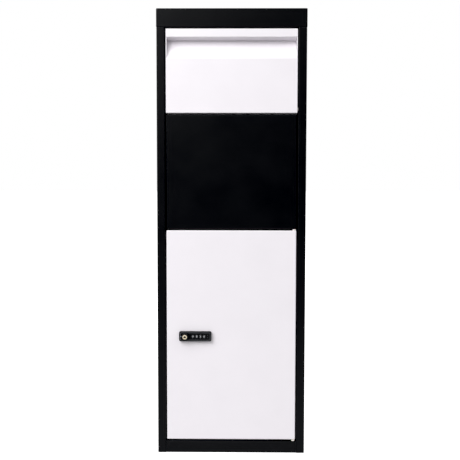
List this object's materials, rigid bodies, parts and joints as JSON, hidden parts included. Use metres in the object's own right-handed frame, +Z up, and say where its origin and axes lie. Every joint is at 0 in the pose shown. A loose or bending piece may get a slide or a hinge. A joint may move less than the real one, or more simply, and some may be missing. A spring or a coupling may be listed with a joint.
{
  "type": "parcel locker",
  "caption": "Tall free-standing steel parcel locker with a tilting drop hopper, a fixed cover panel and a hinged collection door held by a combination cam lock.",
  "frame": {"origin": "centre of the cabinet's underside, on the floor", "axes": "+X to the right seen from the front, +Y from the front to the back, +Z up"},
  "size_m": [0.4012, 0.3705, 1.2],
  "materials": {
    "black_powder_coat": "satin black powder coat on sheet steel",
    "white_powder_coat": "satin white powder coat on sheet steel",
    "zinc_plated_steel": "bright zinc plating",
    "white_nylon": "natural nylon",
    "black_rubber": "matt",
    "black_die_cast": "satin black on zinc die casting",
    "black_dial_plastic": "smooth",
    "brass": "machined"
  },
  "bodies": {
    "cabinet": {"side_panel_left": "black_powder_coat", "side_panel_right": "black_powder_coat", "back_panel": "black_powder_coat", "floor_pan": "black_powder_coat", "top_cap": "black_powder_coat", "chute_cover": "black_powder_coat", "anti_fishing_baffle": "black_powder_coat", "strike_plate": "black_powder_coat", "cap_screw_front_left": "zinc_plated_steel", "cap_screw_front_right": "zinc_plated_steel", "cap_screw_rear_left": "zinc_plated_steel", "cap_screw_rear_right": "zinc_plated_steel", "cover_screw_lower_left": "zinc_plated_steel", "cover_screw_lower_right": "zinc_plated_steel", "cover_screw_upper_left": "zinc_plated_steel", "cover_screw_upper_right": "zinc_plated_steel", "hopper_pivot_pin_left": "zinc_plated_steel", "hopper_pivot_pin_right": "zinc_plated_steel", "hopper_washer_left": "white_nylon", "hopper_washer_right": "white_nylon", "hopper_clip_left": "zinc_plated_steel", "hopper_clip_right": "zinc_plated_steel", "hopper_stop_bracket_left": "black_powder_coat", "hopper_stop_bracket_right": "black_powder_coat", "hopper_stop_bolt_left": "zinc_plated_steel", "hopper_stop_bolt_right": "zinc_plated_steel", "hopper_stop_sleeve_left": "black_rubber", "hopper_stop_sleeve_right": "black_rubber", "hinge_plate_top": "zinc_plated_steel", "hinge_plate_bottom": "zinc_plated_steel", "door_pin_top": "zinc_plated_steel", "door_pin_bottom": "zinc_plated_steel", "door_stop_lower": "black_powder_coat", "door_stop_upper": "black_powder_coat", "door_pad_lower": "black_rubber", "door_pad_upper": "black_rubber"},
    "hopper": {"hopper_front": "white_powder_coat", "hopper_cheek_left": "white_powder_coat", "hopper_cheek_right": "white_powder_coat", "hopper_tray": "white_powder_coat"},
    "door": {"door_panel": "white_powder_coat", "door_stiffener": "white_powder_coat", "door_bush_top": "white_nylon", "door_bush_bottom": "white_nylon", "lock_housing": "black_die_cast", "lock_gasket": "black_rubber", "lock_nut": "zinc_plated_steel", "lock_screw": "zinc_plated_steel", "dial_axle": "zinc_plated_steel"},
    "lock_spindle": {"lock_knob": "black_die_cast", "lock_spindle": "zinc_plated_steel", "lock_cam": "zinc_plated_steel", "cam_screw": "zinc_plated_steel"},
    "key_cylinder": {"key_cylinder": "brass"},
    "dial_1": {"number_dial_1": "black_dial_plastic"},
    "dial_2": {"number_dial_2": "black_dial_plastic"},
    "dial_3": {"number_dial_3": "black_dial_plastic"},
    "dial_4": {"number_dial_4": "black_dial_plastic"}
  },
  "joints": [
    {"name": "hopper_tilt", "type": "hinge", "parent": "cabinet", "child": "hopper", "pos_m": [0, -0.167, 0.935], "axis": [1, 0, 0], "range_deg": [0, 60]},
    {"name": "door_swing", "type": "hinge", "parent": "cabinet", "child": "door", "pos_m": [0.1695, -0.1699, 0.324], "axis": [0, 0, 1], "range_deg": [0, 105]},
    {"name": "lock_turn", "type": "hinge", "parent": "door", "child": "lock_spindle", "pos_m": [-0.125, -0.185, 0.324], "axis": [0, 1, 0], "range_deg": [0, 90]},
    {"name": "key_turn", "type": "hinge", "parent": "lock_spindle", "child": "key_cylinder", "pos_m": [-0.125, -0.185, 0.324], "axis": [0, 1, 0], "range_deg": [0, 90]},
    {"name": "dial_1_turn", "type": "hinge", "parent": "door", "child": "dial_1", "pos_m": [-0.1037, -0.1762, 0.324], "axis": [1, 0, 0], "continuous": true},
    {"name": "dial_2_turn", "type": "hinge", "parent": "door", "child": "dial_2", "pos_m": [-0.0936, -0.1762, 0.324], "axis": [1, 0, 0], "continuous": true},
    {"name": "dial_3_turn", "type": "hinge", "parent": "door", "child": "dial_3", "pos_m": [-0.0835, -0.1762, 0.324], "axis": [1, 0, 0], "continuous": true},
    {"name": "dial_4_turn", "type": "hinge", "parent": "door", "child": "dial_4", "pos_m": [-0.0734, -0.1762, 0.324], "axis": [1, 0, 0], "continuous": true}
  ]
}
